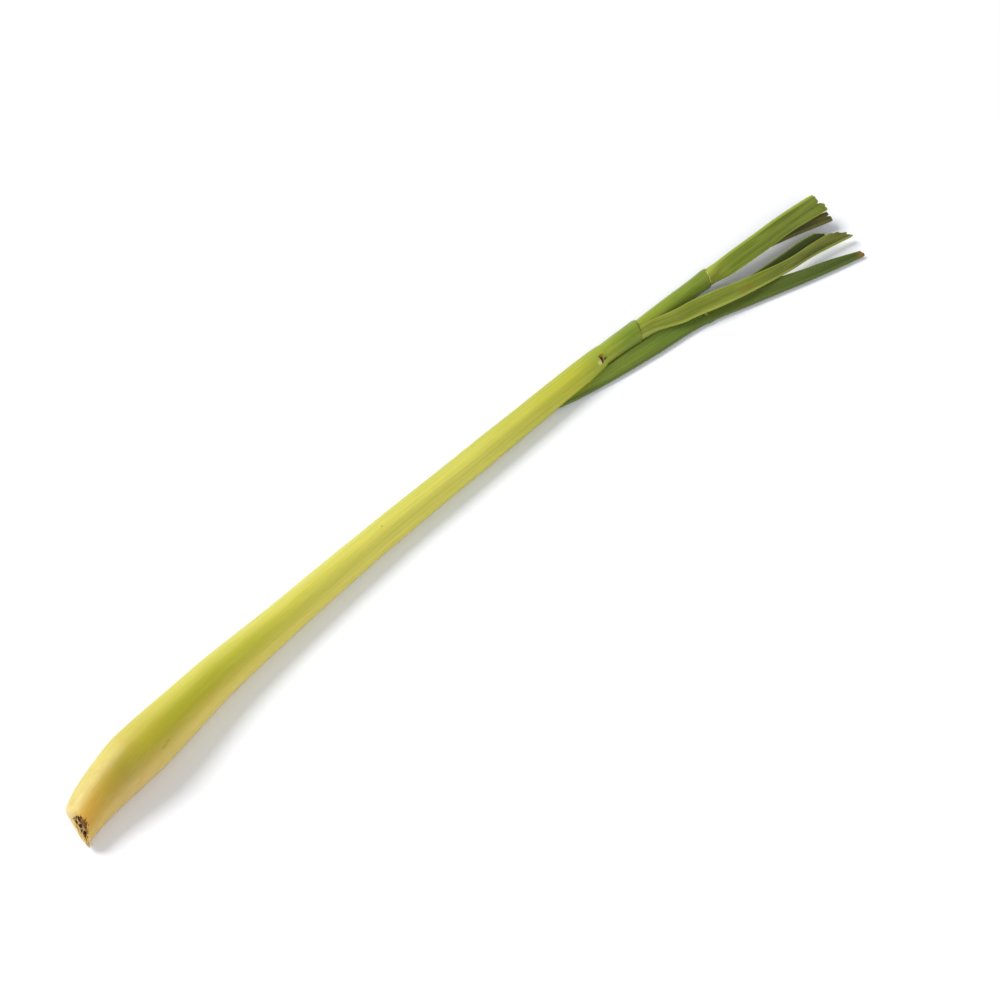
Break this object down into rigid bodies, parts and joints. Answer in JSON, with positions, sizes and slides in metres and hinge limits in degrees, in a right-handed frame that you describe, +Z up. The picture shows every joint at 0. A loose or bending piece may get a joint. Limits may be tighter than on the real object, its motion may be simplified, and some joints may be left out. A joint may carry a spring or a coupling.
{
  "type": "lemongrass stalk",
  "caption": "Fresh lemongrass stalk with a cut bulb end, rolled sheaths, collars and trimmed green leaf tips, lying on its side.",
  "frame": {"origin": "on the surface that the stalk lies on, under the middle of its box", "axes": "+X from the root end to the leaf tips, +Y across the stalk away from the side leaf, +Z up from the surface"},
  "size_m": [0.434, 0.043, 0.0204],
  "materials": {
    "cut_root": "dry, torn and fibrous",
    "pale_sheath": "waxy satin with fine lengthwise veins",
    "green_leaf": "satin with parallel veins and a pale midrib",
    "young_leaf": "satin with parallel veins and a pale midrib",
    "dark_leaf": "dull and slightly wilted",
    "old_leaf": "dull, with a dried brown tip"
  },
  "bodies": {
    "root": {"root_butt": "cut_root", "outer_sheath": "pale_sheath", "second_leaf": "green_leaf", "third_leaf": "young_leaf", "inner_leaf": "dark_leaf", "side_leaf": "old_leaf"}
  },
  "joints": []
}
